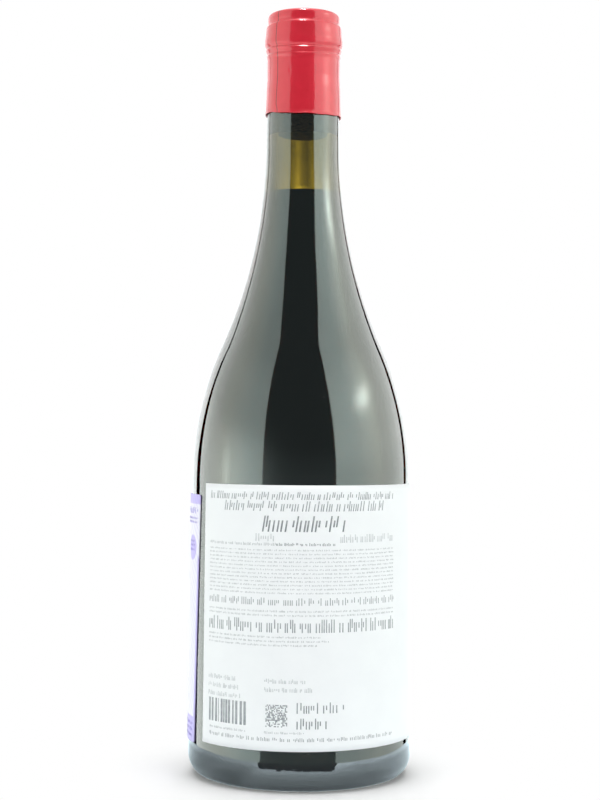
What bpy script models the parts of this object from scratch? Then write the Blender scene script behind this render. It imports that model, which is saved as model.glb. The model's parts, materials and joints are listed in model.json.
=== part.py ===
"""Sealed bottle of red wine in dark green glass.

The pieces are the glass bottle, the wine in it, the cork, the foil capsule over the mouth, a paper
label that wraps most of the way round and the duty strip in the gap between the label's ends.

Metres, +Z up. The origin is the middle of the base, the bottle stands on z = 0, and the face of the
label with the small print looks towards -Y.
"""

import math

import bpy
import numpy as np

# Glass, outside
GLASS_HEIGHT = 0.2949
BODY_RADIUS_LOW = 0.0431
BODY_RADIUS_HIGH = 0.0425
SHOULDER_START = 0.1140
NECK_START = 0.2453
SHOULDER_SHARE = 0.388
NECK_RADIUS = 0.0143
HEEL_INSET = 0.0062
HEEL_RISE = 0.0083
BEARING_WIDTH = 0.0022
PUNT_HEIGHT = 0.0220

# Glass, the corkage end under the capsule
THROAT_RADIUS = 0.0136
THROAT_LOW = 0.2690
THROAT_HIGH = 0.2790
RING_RADIUS_LOW = 0.01465
RING_RADIUS_HIGH = 0.01410
RING_LOW = 0.2830
RING_HIGH = 0.2898
LIP_RADIUS = 0.0134
LIP_LOW = 0.2915
LIP_ROUND = 0.0010

# Glass, inside
WALL = 0.0035
BORE_RADIUS = 0.0099
MOUTH_ROUND = 0.0008
FLOOR = 0.0050
INNER_HEEL = 0.0060

# Pieces on and in the glass
GAP = 0.0003
FILL_LEVEL = 0.2261
CORK_LENGTH = 0.0472
CORK_CHAMFER = 0.0006
CAPSULE_BOTTOM = 0.2545
FOIL = 0.0003
PAPER = 0.0003
LABEL_LOW = 0.0156
LABEL_HIGH = 0.1124
LABEL_LEFT = math.radians(-57.0)
LABEL_RIGHT = math.radians(234.0)
STRIP_LOW = 0.0139
STRIP_HIGH = 0.1079
STRIP_WIDTH = 0.0260
STRIP_EDGE_LOW = math.radians(-66.8)
STRIP_EDGE_HIGH = math.radians(-62.1)

# How finely the round shapes are cut
SEGMENTS = 48
LONG_ARC_STEPS = 7
SHORT_ARC_STEPS = 4
PUNT_STEPS = 6


def clear_scene():
    for old in list(bpy.data.objects):
        bpy.data.objects.remove(old, do_unlink=True)


def make_material(name, colour, roughness, metallic=0.0, transmission=0.0):
    material = bpy.data.materials.new(name)
    material.use_nodes = True
    shader = material.node_tree.nodes["Principled BSDF"]
    shader.inputs["Base Color"].default_value = (*colour, 1.0)
    shader.inputs["Roughness"].default_value = roughness
    shader.inputs["Metallic"].default_value = metallic
    shader.inputs["Transmission Weight"].default_value = transmission
    return material


def arc(centre, radii, start, end, steps):
    """Points (r, z) on an ellipse about centre, from angle start to end in degrees, 0 being outwards."""
    angles = np.radians(np.linspace(start, end, steps + 1))
    r = centre[0] + radii[0] * np.cos(angles)
    z = centre[1] + radii[1] * np.sin(angles)
    return list(zip(r, z))


def shoulder_and_neck(body_radius, neck_radius, steps):
    """Two arcs that meet in one tangent, from the top of the body up to the foot of the neck."""
    narrowing = body_radius - neck_radius
    rise = NECK_START - SHOULDER_START
    turn = 2.0 * math.atan2(narrowing, rise)
    both_radii = rise / math.sin(turn)
    shoulder_radius = SHOULDER_SHARE * both_radii
    hollow_radius = both_radii - shoulder_radius
    degrees = math.degrees(turn)
    shoulder_centre = (body_radius - shoulder_radius, SHOULDER_START)
    hollow_centre = (neck_radius + hollow_radius, NECK_START)
    shoulder = arc(shoulder_centre, (shoulder_radius,) * 2, 0.0, degrees, steps)
    hollow = arc(hollow_centre, (hollow_radius,) * 2, 180.0 + degrees, 180.0, steps)
    return shoulder + hollow[1:]


def dome(height, rim_radius, rim_height, steps):
    """Raised cosine from the rim in to the axis, the pushed-up bottom of the bottle."""
    r = rim_radius * np.linspace(1.0, 0.0, steps + 1)
    z = rim_height + height * 0.5 * (1.0 + np.cos(math.pi * r / rim_radius))
    return list(zip(r, z))


def corkage_end(clearance):
    """Outside of the neck's top from the lip down to the capsule's edge, set out by a clearance."""
    lip_centre = (LIP_RADIUS - LIP_ROUND, GLASS_HEIGHT - LIP_ROUND)
    lip_radius = LIP_ROUND + clearance
    lip = arc(lip_centre, (lip_radius,) * 2, 90.0, 0.0, SHORT_ARC_STEPS)
    steps_down = [
        (LIP_RADIUS, LIP_LOW),
        (RING_RADIUS_HIGH, RING_HIGH),
        (RING_RADIUS_LOW, RING_LOW + 0.35 * (RING_HIGH - RING_LOW)),
        (RING_RADIUS_LOW, RING_LOW),
        (THROAT_RADIUS, THROAT_HIGH),
        (THROAT_RADIUS, THROAT_LOW),
        (NECK_RADIUS - GAP / 2, CAPSULE_BOTTOM),
    ]
    return lip + [(r + clearance, z) for r, z in steps_down]


def inner_wall(inset):
    """The hollow from its middle up to the foot of the neck, set in by a clearance."""
    body_radius = BODY_RADIUS_HIGH - WALL - inset
    low_radius = BODY_RADIUS_LOW - WALL - inset
    floor = FLOOR + inset
    heel_radius = INNER_HEEL
    heel_centre = (low_radius - heel_radius, floor + heel_radius)
    bottom = dome(PUNT_HEIGHT, heel_centre[0], floor, PUNT_STEPS)[::-1]
    heel = arc(heel_centre, (heel_radius,) * 2, -90.0, 0.0, SHORT_ARC_STEPS)
    side = shoulder_and_neck(body_radius, BORE_RADIUS - inset, LONG_ARC_STEPS)
    return bottom + heel[1:] + side


def outer_side():
    """The glass below the capsule's edge, down to the bearing ring and in to the top of the punt."""
    side = shoulder_and_neck(BODY_RADIUS_HIGH, NECK_RADIUS, LONG_ARC_STEPS)[::-1]
    heel_centre = (BODY_RADIUS_LOW - HEEL_INSET, HEEL_RISE)
    heel = arc(heel_centre, (HEEL_INSET, HEEL_RISE), 0.0, -90.0, SHORT_ARC_STEPS + 2)
    punt_rim = heel_centre[0] - BEARING_WIDTH
    return side + heel + dome(PUNT_HEIGHT, punt_rim, 0.0, PUNT_STEPS)


def crossing(profile, height):
    """Radius of a rising profile where it passes a height."""
    rising = profile[-2 * LONG_ARC_STEPS - 1:]
    return float(np.interp(height, [z for _, z in rising], [r for r, _ in rising]))


def turned(name, profile, material):
    """A round piece: a profile at +X, turned about the Z axis."""
    mesh = bpy.data.meshes.new(name)
    points = [(r, 0.0, z) for r, z in profile]
    edges = [(i, i + 1) for i in range(len(points) - 1)]
    mesh.from_pydata(points, edges, [])
    piece = bpy.data.objects.new(name, mesh)
    bpy.context.collection.objects.link(piece)
    mesh.materials.append(material)
    screw = piece.modifiers.new("Turn", "SCREW")
    screw.axis = "Z"
    screw.steps = SEGMENTS
    screw.render_steps = SEGMENTS
    screw.use_merge_vertices = True
    screw.merge_threshold = 0.00001
    screw.use_smooth_shade = True
    return piece


def thicken(piece, thickness):
    """Gives a skin its thickness on the outer side."""
    solidify = piece.modifiers.new("Thickness", "SOLIDIFY")
    solidify.thickness = thickness
    solidify.offset = 1.0
    solidify.use_even_offset = True


def body_radius_at(height):
    """Outside of the glass between the heel and the shoulder, a slight straight taper."""
    return float(np.interp(height, [HEEL_RISE, SHOULDER_START], [BODY_RADIUS_LOW, BODY_RADIUS_HIGH]))


def wrapped(name, low, high, left, right, material):
    """A paper on the body between two heights; left and right give the angles of its low and high edge.

    An angle is counted from -Y towards +X. The paper is a sheet first, and then gets its thickness.
    """
    step = 2.0 * math.pi / SEGMENTS
    columns = max(2, math.ceil((right[0] - left[0]) / step))
    points = []
    for row, height in enumerate((low, high)):
        radius = body_radius_at(height) + GAP
        for angle in np.linspace(left[row], right[row], columns + 1):
            points.append((radius * math.sin(angle), -radius * math.cos(angle), height))
    upper = columns + 1
    faces = [(i, i + 1, upper + i + 1, upper + i) for i in range(columns)]
    mesh = bpy.data.meshes.new(name)
    mesh.from_pydata(points, [], faces)
    mesh.materials.append(material)
    mesh.shade_smooth()
    piece = bpy.data.objects.new(name, mesh)
    bpy.context.collection.objects.link(piece)
    thicken(piece, PAPER)
    return piece


def make_bottle():
    material = make_material("dark_green_glass", (0.012, 0.022, 0.010), 0.05, transmission=0.8)
    bore_top = GLASS_HEIGHT - MOUTH_ROUND
    mouth = arc((BORE_RADIUS + MOUTH_ROUND, bore_top), (MOUTH_ROUND,) * 2, 180.0, 90.0, 2)
    profile = inner_wall(0.0) + mouth + corkage_end(0.0) + outer_side()
    return turned("bottle", profile, material)


def make_wine():
    material = make_material("red_wine", (0.020, 0.002, 0.004), 0.05, transmission=0.6)
    wall = inner_wall(GAP)
    surface_radius = crossing(wall, FILL_LEVEL)
    below = [point for point in wall if point[1] < FILL_LEVEL]
    surface = [(0.0, FILL_LEVEL), (surface_radius, FILL_LEVEL)]
    return turned("wine", surface + below[::-1], material)


def make_cork():
    material = make_material("cork", (0.35, 0.20, 0.10), 0.85)
    radius = BORE_RADIUS - GAP
    top = GLASS_HEIGHT - GAP
    bottom = GLASS_HEIGHT - CORK_LENGTH
    edge = radius - CORK_CHAMFER
    upper_end = [(0.0, top), (edge, top), (radius, top - CORK_CHAMFER)]
    lower_end = [(radius, bottom + CORK_CHAMFER), (edge, bottom), (0.0, bottom)]
    return turned("cork", upper_end + lower_end, material)


def make_capsule():
    material = make_material("red_foil", (0.60, 0.03, 0.05), 0.30, metallic=0.6)
    side = corkage_end(GAP)
    profile = [(0.0, GLASS_HEIGHT + GAP)] + side
    capsule = turned("capsule", profile, material)
    thicken(capsule, FOIL)
    return capsule


def make_papers():
    paper = make_material("label_paper", (0.84, 0.86, 0.86), 0.60)
    lilac = make_material("duty_strip_paper", (0.55, 0.50, 0.66), 0.60)
    label_ends = ((LABEL_LEFT,) * 2, (LABEL_RIGHT,) * 2)
    wrapped("label", LABEL_LOW, LABEL_HIGH, *label_ends, paper)
    strip_turn = STRIP_WIDTH / BODY_RADIUS_LOW
    strip_right = (STRIP_EDGE_LOW, STRIP_EDGE_HIGH)
    strip_left = tuple(edge - strip_turn for edge in strip_right)
    wrapped("strip", STRIP_LOW, STRIP_HIGH, strip_left, strip_right, lilac)


def main():
    clear_scene()
    make_bottle()
    make_wine()
    make_cork()
    make_capsule()
    make_papers()


main()
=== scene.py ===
# %% [markdown]
# # A sealed bottle of red wine
#
# A corked bottle is six things on top of each other: thick dark green glass, the wine inside it, a
# cork, a lacquered foil capsule over the mouth, a paper label and a paper duty strip. The shapes are
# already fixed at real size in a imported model, so this lesson only dresses them. Each cell makes one
# piece or one finish and says what the real one is like.
#
# The first cell loads the fixed frame. Everything is in metres, +Z is up, the bottle stands on z = 0
# and the side with the small print looks towards -Y, where the camera is.

# %% Load the frame
import json
import math

import bpy
import numpy as np
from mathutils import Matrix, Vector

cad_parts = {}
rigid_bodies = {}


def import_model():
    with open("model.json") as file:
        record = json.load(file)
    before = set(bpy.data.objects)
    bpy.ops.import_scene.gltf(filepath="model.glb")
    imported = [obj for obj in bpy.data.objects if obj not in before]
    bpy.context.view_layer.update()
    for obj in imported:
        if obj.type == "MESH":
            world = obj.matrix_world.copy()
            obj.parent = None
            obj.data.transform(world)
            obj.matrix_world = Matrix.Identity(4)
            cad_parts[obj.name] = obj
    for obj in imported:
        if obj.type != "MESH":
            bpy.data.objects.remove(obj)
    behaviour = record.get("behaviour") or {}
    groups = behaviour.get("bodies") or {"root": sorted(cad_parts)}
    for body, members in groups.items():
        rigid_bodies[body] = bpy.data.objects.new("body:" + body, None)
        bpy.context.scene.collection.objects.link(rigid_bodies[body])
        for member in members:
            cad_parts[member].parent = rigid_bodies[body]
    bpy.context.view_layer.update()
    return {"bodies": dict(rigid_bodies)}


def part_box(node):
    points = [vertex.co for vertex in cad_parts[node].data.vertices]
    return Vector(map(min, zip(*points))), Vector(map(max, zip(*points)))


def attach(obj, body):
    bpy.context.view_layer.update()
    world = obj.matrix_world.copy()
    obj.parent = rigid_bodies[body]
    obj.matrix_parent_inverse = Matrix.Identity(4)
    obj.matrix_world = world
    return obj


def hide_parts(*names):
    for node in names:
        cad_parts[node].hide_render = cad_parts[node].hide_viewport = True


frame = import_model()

MM = 0.001
BODY = next(iter(frame["bodies"]))

# %% [markdown]
# ## Two ways to write less
#
# A Blender material is a graph of nodes. Making a node takes a call, a few settings and a few links,
# so one small function does all three. Colours are picked on a screen, where they are sRGB, but the
# renderer adds light in linear values, so a second function converts a hex colour. A third one puts
# arrays of points and faces into a mesh, which is much faster than building it face by face.

# %% Colours, nodes and meshes from arrays
def linear(hex_colour):
    """Turns an sRGB hex colour to linear: c / 12.92 when dark, else ((c + 0.055) / 1.055) ** 2.4."""
    code = hex_colour.lstrip("#")
    values = np.array([int(code[i:i + 2], 16) for i in (0, 2, 4)]) / 255
    curve = np.where(values <= 0.04045, values / 12.92, ((values + 0.055) / 1.055) ** 2.4)
    return (*(float(v) for v in curve), 1.0)


def add(tree, kind, inputs=None, **settings):
    """Adds a node. An input given a socket is linked to it, and any other input is set to the value."""
    node = tree.nodes.new("ShaderNode" + kind)
    for name, value in settings.items():
        setattr(node, name, value)
    for name, value in (inputs or {}).items():
        if isinstance(value, bpy.types.NodeSocket):
            tree.links.new(value, node.inputs[name])
        else:
            node.inputs[name].default_value = value
    return node


def new_material(name):
    """An empty node material and its Material Output."""
    material = bpy.data.materials.new(name)
    material.use_nodes = True
    material.node_tree.nodes.clear()
    return material, material.node_tree, add(material.node_tree, "OutputMaterial")


def finish_piece(name, points, faces, material, uv=None, stands_for=()):
    """Makes a smooth mesh piece, puts its UVs in, and lets it ride on the body that it stands for."""
    mesh = bpy.data.meshes.new(name)
    mesh.from_pydata(points.tolist(), [], faces)
    mesh.materials.append(material)
    mesh.shade_smooth()
    if uv is not None:
        corner = np.empty(len(mesh.loops), np.int32)
        mesh.loops.foreach_get("vertex_index", corner)
        mesh.uv_layers.new(name="millimetres").data.foreach_set("uv", uv[corner].ravel())
    piece = bpy.data.objects.new(name, mesh)
    bpy.context.collection.objects.link(piece)
    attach(piece, BODY)
    if stands_for:
        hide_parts(*stands_for)
    print(f"{name}: {len(points)} points, {len(faces)} faces")
    return piece


print("helpers ready; mid grey is", round(linear("#808080")[0], 3))

# %% [markdown]
# ## The camera
#
# The bottle was seen from a little over half a metre away, from just under half its height, looking
# up by about one degree. The ellipses show it: the base curves down, the mouth curves up, and the
# level eye height is where a ring would look flat. A lens in millimetres is one way to say how much
# the camera sees; the other is a focal length in pixels, which is what comes out of measuring.

# %% Camera
IMAGE_HEIGHT_PX = 800
FOCAL_PX = 1630
EYE_DISTANCE = 637.9 * MM
EYE_HEIGHT = 131.1 * MM
EYE_SIDE = -0.45 * MM
PITCH_UP = math.radians(1.2)
LEAN_RIGHT = math.radians(0.38)
SENSOR_MM = 36.0

camera_data = bpy.data.cameras.new("camera")
camera_data.sensor_fit = "VERTICAL"
camera_data.sensor_height = SENSOR_MM
camera_data.lens = FOCAL_PX * SENSOR_MM / IMAGE_HEIGHT_PX
camera = bpy.data.objects.new("camera", camera_data)
camera.location = (EYE_SIDE, -EYE_DISTANCE, EYE_HEIGHT)
camera.rotation_euler = (math.pi / 2 + PITCH_UP, -LEAN_RIGHT, 0.0)
bpy.context.collection.objects.link(camera)
bpy.context.scene.camera = camera
print("lens", round(camera_data.lens, 1), "mm on a", SENSOR_MM, "mm high sensor")

# %% [markdown]
# ## The outline of the glass
#
# A round bottle is one profile turned about its axis, so the whole form is in a curve of radius
# against height. The shoulder and the neck are two arcs that meet in one tangent, the way a
# glassmaker's mould drawing gives them. The heel is a quarter of an ellipse, and the bottom is pushed
# up in a dome, which makes the bottle stand on a ring. The sizes that the frame holds are read from
# it, and the rest repeat the named sizes that the solids were made from.

# %% Profile of the outside, from the capsule's edge to the bearing ring
glass_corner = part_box("bottle")[1]
GLASS_TOP = float(glass_corner[2])
BODY_LOW = float(glass_corner[0])
BODY_HIGH = 42.5 * MM
SHOULDER_START = 114.0 * MM
NECK_START = 245.3 * MM
SHOULDER_SHARE = 0.388
NECK = 14.3 * MM
HEEL_INSET = 6.2 * MM
HEEL_RISE = 8.3 * MM
BEARING = 2.2 * MM
PUNT = 22.0 * MM
ARC_POINTS = 40
LINE_POINTS = 24
HEEL_POINTS = 24
DOME_POINTS = 30


def arc(centre, radii, start, end, count):
    """Points on an ellipse: centre + (radius across * cos a, radius up * sin a), a in degrees."""
    a = np.radians(np.linspace(start, end, count))
    return np.column_stack([centre[0] + radii[0] * np.cos(a), centre[1] + radii[1] * np.sin(a)])


def shoulder_and_neck(body, neck, count):
    """Two arcs with one shared tangent. The turn t of each has tan(t / 2) = narrowing / rise."""
    rise = NECK_START - SHOULDER_START
    turn = 2 * math.atan2(body - neck, rise)
    total = rise / math.sin(turn)
    convex, hollow = SHOULDER_SHARE * total, (1 - SHOULDER_SHARE) * total
    t = math.degrees(turn)
    below = arc((body - convex, SHOULDER_START), (convex, convex), 0, t, count)
    above = arc((neck + hollow, NECK_START), (hollow, hollow), 180 + t, 180, count)
    return np.vstack([below, above[1:]])


def dome(rim, height, count):
    """Raised cosine from rim radius to the axis: z = base + height * (1 + cos(pi r / R)) / 2."""
    radius, base = rim
    r = radius * np.linspace(1, 0, count)
    return np.column_stack([r, base + height * (1 + np.cos(np.pi * r / radius)) / 2])


def straight(start, end, count):
    """Evenly spaced points on a line, without its ends."""
    s = np.linspace(0, 1, count + 2)[1:-1, None]
    return (1 - s) * np.array(start) + s * np.array(end)


side = shoulder_and_neck(BODY_HIGH, NECK, ARC_POINTS)[::-1]
heel_centre = (BODY_LOW - HEEL_INSET, HEEL_RISE)
heel = arc(heel_centre, (HEEL_INSET, HEEL_RISE), 0, -90, HEEL_POINTS)
body_line = straight(side[-1], heel[0], LINE_POINTS)
punt = dome((heel_centre[0] - BEARING, 0.0), PUNT, DOME_POINTS)
outside = np.vstack([side, body_line, heel, punt])
print(len(outside), "points from the neck to the top of the punt")

# %% [markdown]
# The inside runs nearly parallel, 3.5 mm in. At the top it is a straight bore for the cork. Under the
# capsule the glass has a throat and a ring, which the foil is pressed onto.

# %% Profile of the inside and of the corkage end
WALL = 3.5 * MM
BORE = 9.9 * MM
FLOOR = 5.0 * MM
INNER_HEEL = 6.0 * MM
MOUTH_ROUND = 0.8 * MM
LIP = 13.4 * MM
LIP_ROUND = 1.0 * MM
CAPSULE_EDGE = float(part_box("capsule")[0][2])
INNER_HEEL_POINTS = 16
SLOPE_POINTS = 2 * ARC_POINTS - 1


def inner_wall(inset):
    """The hollow from the axis to the foot of the bore, set in (or out, if below 0) by a distance."""
    radius = BODY_LOW - WALL - inset
    centre = (radius - INNER_HEEL, FLOOR + inset + INNER_HEEL)
    bottom = dome((centre[0], FLOOR + inset), PUNT, DOME_POINTS)[::-1]
    corner = arc(centre, (INNER_HEEL, INNER_HEEL), -90, 0, INNER_HEEL_POINTS)
    slope = shoulder_and_neck(BODY_HIGH - WALL - inset, BORE - inset, ARC_POINTS)
    return np.vstack([bottom, corner[1:], straight(corner[-1], slope[0], LINE_POINTS), slope])


mouth = arc((BORE + MOUTH_ROUND, GLASS_TOP - MOUTH_ROUND), (MOUTH_ROUND,) * 2, 180, 90, 6)
lip = arc((LIP - LIP_ROUND, GLASS_TOP - LIP_ROUND), (LIP_ROUND,) * 2, 90, 0, 8)
ring_and_throat = MM * np.array([(13.4, 291.5), (14.1, 289.8), (14.65, 285.38), (14.65, 283.0),
                                 (13.6, 279.0), (13.6, 269.0), (14.15, CAPSULE_EDGE / MM)])
glass_profile = np.vstack([inner_wall(0.0), mouth, lip, ring_and_throat, outside])
print("glass profile", len(glass_profile), "points; bore", round(2 * BORE / MM, 1), "mm")

# %% [markdown]
# ## Turning a profile
#
# The Screw modifier could turn the profile, but real glass and foil are never quite round, so the
# radius and the height must be able to change a little with the angle. The turned surface is worked
# out on a grid: one row for each point of the profile, one column for each angle. Where the profile
# meets the axis, the row shrinks to one point and closes with a fan of triangles.

# %% Lathe function
ON_AXIS = 1e-6
ML_PER_M3 = 1e6


def evenly(count):
    """Angles all the way round: 2 pi j / count."""
    return 2 * np.pi * np.arange(count) / count


def lathe(profile, angle, relief=None, slide=None):
    """Point (i, j) is (r sin a, -r cos a, z), with r, z from profile row i and a = angle[j].

    relief(a, z) adds to the radius, slide(a, z) to the height. An end on the axis becomes a pole.
    """
    columns = len(angle)
    r = np.repeat(profile[:, :1], columns, axis=1)
    z = np.repeat(profile[:, 1:], columns, axis=1)
    wide = r if relief is None else r + np.where(r > ON_AXIS, relief(angle, z), 0.0)
    tall = z if slide is None else z + slide(angle, z)
    grid = np.stack([wide * np.sin(angle), -wide * np.cos(angle), tall], axis=2)
    pole_first, pole_last = profile[0, 0] < ON_AXIS, profile[-1, 0] < ON_AXIS
    grid = grid[int(pole_first):len(profile) - int(pole_last)]
    rows, points = len(grid), grid.reshape(-1, 3)
    i, j = np.meshgrid(np.arange(rows - 1), np.arange(columns), indexing="ij")
    here, right = i * columns + j, i * columns + (j + 1) % columns
    faces = np.stack([here, here + columns, right + columns, right], axis=2).reshape(-1, 4).tolist()
    rim = np.arange(columns)
    after = (rim + 1) % columns
    if pole_first:
        tip = np.full(columns, len(points))
        points = np.vstack([points, [0.0, 0.0, profile[0, 1]]])
        faces += np.stack([rim, after, tip], axis=1).tolist()
    if pole_last:
        tip = np.full(columns, len(points))
        last = (rows - 1) * columns
        points = np.vstack([points, [0.0, 0.0, profile[-1, 1]]])
        faces += np.stack([last + rim, tip, last + after], axis=1).tolist()
    return points, faces


def volume_ml(points, faces):
    """Signed volume: the sum over triangles of a . (b x c) / 6, above 0 if faces point outwards."""
    fans = [(f[0], f[k], f[k + 1]) for f in faces for k in range(1, len(f) - 1)]
    a, b, c = (points[np.array(fans)[:, k]] for k in range(3))
    return float(np.einsum("ij,ij->i", a, np.cross(b, c)).sum() / 6 * ML_PER_M3)


points, faces = lathe(glass_profile, evenly(48))
print("glass as turned:", round(volume_ml(points, faces)), "ml of glass")

# %% [markdown]
# ## Bottle glass
#
# This is soda-lime glass coloured dark green with iron and chromium, blown in an iron mould. It is
# clear, not painted: its colour comes from how far light travels in it, so the colour is set in the
# volume, as absorption for each metre, and the surface is a plain clear dielectric with an index of
# 1.52. The other way, tinting the surface, would make a thin wall as dark as a thick one. Two walls
# of this glass let about a fifteenth of red light through, a little less green and hardly any blue,
# which the eye reads as olive against a bright background.

# %% Bottle glass material
def clear_dielectric(name, ior, roughness, absorbs, density):
    """A clear surface over an absorbing volume. Light kept after d metres: exp(-density (1 - c) d)."""
    material, tree, output = new_material(name)
    surface = add(tree, "BsdfPrincipled", {"Base Color": (1, 1, 1, 1), "Transmission Weight": 1.0,
                                           "IOR": ior, "Roughness": roughness})
    volume = add(tree, "VolumeAbsorption", {"Color": (*absorbs, 1.0), "Density": density})
    tree.links.new(surface.outputs["BSDF"], output.inputs["Surface"])
    tree.links.new(volume.outputs["Volume"], output.inputs["Volume"])
    return material, tree, surface


GLASS_KEEPS = (0.513, 0.451, 0.02)
GLASS_DENSITY = 700.0
TWO_WALLS = 8 * MM
bottle_glass, glass_tree, glass_surface = clear_dielectric(
    "soda_lime_bottle_glass", 1.52, 0.015, GLASS_KEEPS, GLASS_DENSITY)
through_two = [math.exp(-GLASS_DENSITY * (1 - c) * TWO_WALLS) for c in GLASS_KEEPS]
print("two walls let through", [round(v, 3) for v in through_two])

# %% [markdown]
# Moulded glass is never optically flat. It has slow waves a few centimetres long, left by the gob as
# it fills the mould, and they are what makes the edges of a reflection wander. They are real shape,
# some hundredths of a millimetre deep, so they are added to the radius. Just above the table, where
# the mould's bottom plate meets its sides, the skin of the glass is chilled and finely uneven. That
# is too small for the mesh, so a bump does it, faded in by height.

# %% The glass itself
WAVE = 0.022 * MM
CHILLED_FROM = 10.8 * MM
CHILLED_TO = 8.5 * MM
CHILLED_GRAIN = 2.2 * MM
CHILLED_DEEP = 0.05 * MM
GLASS_COLUMNS = 216
GRAMS_PER_ML = 2.5


def glass_waves(angle, z):
    """Three slow waves: amplitude * sin(turns * angle + height / length + phase), added up."""
    slow = np.sin(2 * angle + z / 0.021 + 0.7) + 0.7 * np.sin(5 * angle - z / 0.013 + 2.1)
    return WAVE * (slow + 0.5 * np.sin(9 * angle + z / 0.008))


place = add(glass_tree, "TexCoord").outputs["Object"]
uneven = add(glass_tree, "TexNoise", {"Vector": place, "Scale": 1 / CHILLED_GRAIN, "Detail": 1.0})
height = add(glass_tree, "SeparateXYZ", {"Vector": place}).outputs["Z"]
chilled = add(glass_tree, "MapRange", {"Value": height, "From Min": CHILLED_FROM,
                                       "From Max": CHILLED_TO})
skin = add(glass_tree, "Bump", {"Height": uneven.outputs["Fac"], "Distance": CHILLED_DEEP,
                                "Strength": chilled.outputs["Result"]})
glass_tree.links.new(skin.outputs["Normal"], glass_surface.inputs["Normal"])

points, faces = lathe(glass_profile, evenly(GLASS_COLUMNS), glass_waves)
finish_piece("glass", points, faces, bottle_glass, stands_for=["bottle"])
glass_ml = volume_ml(points, faces)
print("glass", round(glass_ml), "ml,", round(glass_ml * GRAMS_PER_ML), "g")

# %% [markdown]
# ## The wine
#
# Red wine is water, alcohol and a strong dye. A glassful is ruby, but a bottle is so thick that
# nothing comes through and it looks black. It fills the hollow up to a level in the neck and climbs
# the glass by about a millimetre there, in a meniscus. A liquid modelled with an air gap to the glass
# shows a silvery second skin, so the surface reaches just into the wall. Its index there is the step
# from glass to wine, 1.52 / 1.34 = 1.13, so that the hidden surface hardly reflects.

# %% Wine
FILL_LEVEL = float(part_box("wine")[1][2])
OVERLAP = 0.15 * MM
MENISCUS = 1.1 * MM
MENISCUS_REACH = 1.1 * MM
CONTACT_DROP = 0.6 * MM
TOP_CLEAR = 0.3 * MM
WINE_COLUMNS = 128
SURFACE_POINTS = 32
STEP_TO_WINE = 1.13
WINE_KEEPS = (0.72, 0.0, 0.12)
WINE_DENSITY = 12000.0
red_wine = clear_dielectric("red_wine", STEP_TO_WINE, 0.0, WINE_KEEPS, WINE_DENSITY)[0]

wall = inner_wall(-OVERLAP)
contact = FILL_LEVEL - CONTACT_DROP
rising = wall[-SLOPE_POINTS:]
edge_radius = float(np.interp(contact, rising[:, 1], rising[:, 0]))
across = np.linspace(0, 1, SURFACE_POINTS)
climb = MENISCUS * np.exp(-(1 - across) * edge_radius / MENISCUS_REACH)
surface = np.column_stack([edge_radius * across, contact - MENISCUS + climb])
wine_profile = np.vstack([surface, wall[wall[:, 1] < contact - TOP_CLEAR][::-1]])
points, faces = lathe(wine_profile, evenly(WINE_COLUMNS))
finish_piece("wine_fill", points, faces, red_wine, stands_for=["wine"])
print("wine", round(volume_ml(points, faces)), "ml up to", round(FILL_LEVEL / MM, 1), "mm")

# %% [markdown]
# ## The cork
#
# A natural cork is punched from bark, 24 mm across, and squeezed into a bore of less than 20 mm. Its
# sides show lenticels, the dark pores that ran across the bark. It is seen only through the glass,
# under the capsule, and wine has darkened its lower end, so a turned cylinder in a dark bark colour
# with darker flecks is enough.

# %% Cork
def bark(name):
    """Damp cork: brown with fine grain, and short dark pores lying across."""
    material, tree, output = new_material(name)
    place = add(tree, "TexCoord")
    across = add(tree, "Mapping", {"Vector": place.outputs["Object"], "Scale": (1.0, 1.0, 2.6)})
    grain = add(tree, "TexNoise", {"Vector": across.outputs["Vector"], "Scale": 1 / (1.1 * MM),
                                   "Detail": 4.0})
    pores = add(tree, "TexVoronoi", {"Vector": across.outputs["Vector"], "Scale": 1 / (3.2 * MM)})
    tan = add(tree, "ValToRGB", {"Fac": grain.outputs["Fac"]})
    tan.color_ramp.elements[0].color = linear("#543a20")
    tan.color_ramp.elements[0].position = 0.3
    tan.color_ramp.elements[1].color = linear("#7c5f3e")
    tan.color_ramp.elements[1].position = 0.7
    fleck = add(tree, "MapRange", {"Value": pores.outputs["Distance"], "From Min": 0.10,
                                   "From Max": 0.24, "To Min": 1.0, "To Max": 0.0})
    colour = add(tree, "Mix", {"Factor": fleck.outputs["Result"], "A": tan.outputs["Color"],
                               "B": linear("#2a1a0d")}, data_type="RGBA")
    bump = add(tree, "Bump", {"Height": grain.outputs["Fac"], "Strength": 0.4, "Distance": 0.2 * MM})
    skin = add(tree, "BsdfPrincipled", {"Base Color": colour.outputs["Result"], "Roughness": 0.85,
                                        "Normal": bump.outputs["Normal"]})
    tree.links.new(skin.outputs["BSDF"], output.inputs["Surface"])
    return material


cork_low, cork_high = (float(corner[2]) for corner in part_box("cork"))
CORK = BORE + 0.05 * MM
CORK_EDGE = 0.6 * MM
CORK_COLUMNS = 96
CORK_EDGE_POINTS = 6
CORK_SIDE_POINTS = 20
edge_radii = (CORK_EDGE, CORK_EDGE)
foot = arc((CORK - CORK_EDGE, cork_low + CORK_EDGE), edge_radii, 0, -90, CORK_EDGE_POINTS)
head = arc((CORK - CORK_EDGE, cork_high - CORK_EDGE), edge_radii, 90, 0, CORK_EDGE_POINTS)
cork_side = straight(head[-1], foot[0], CORK_SIDE_POINTS)
cork_profile = np.vstack([[0, cork_high], head, cork_side, foot, [0, cork_low]])
points, faces = lathe(cork_profile, evenly(CORK_COLUMNS))
finish_piece("cork_stopper", points, faces, bark("natural_cork"), stands_for=["cork"])
print("cork", round((cork_high - cork_low) / MM, 1), "mm long")

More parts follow.
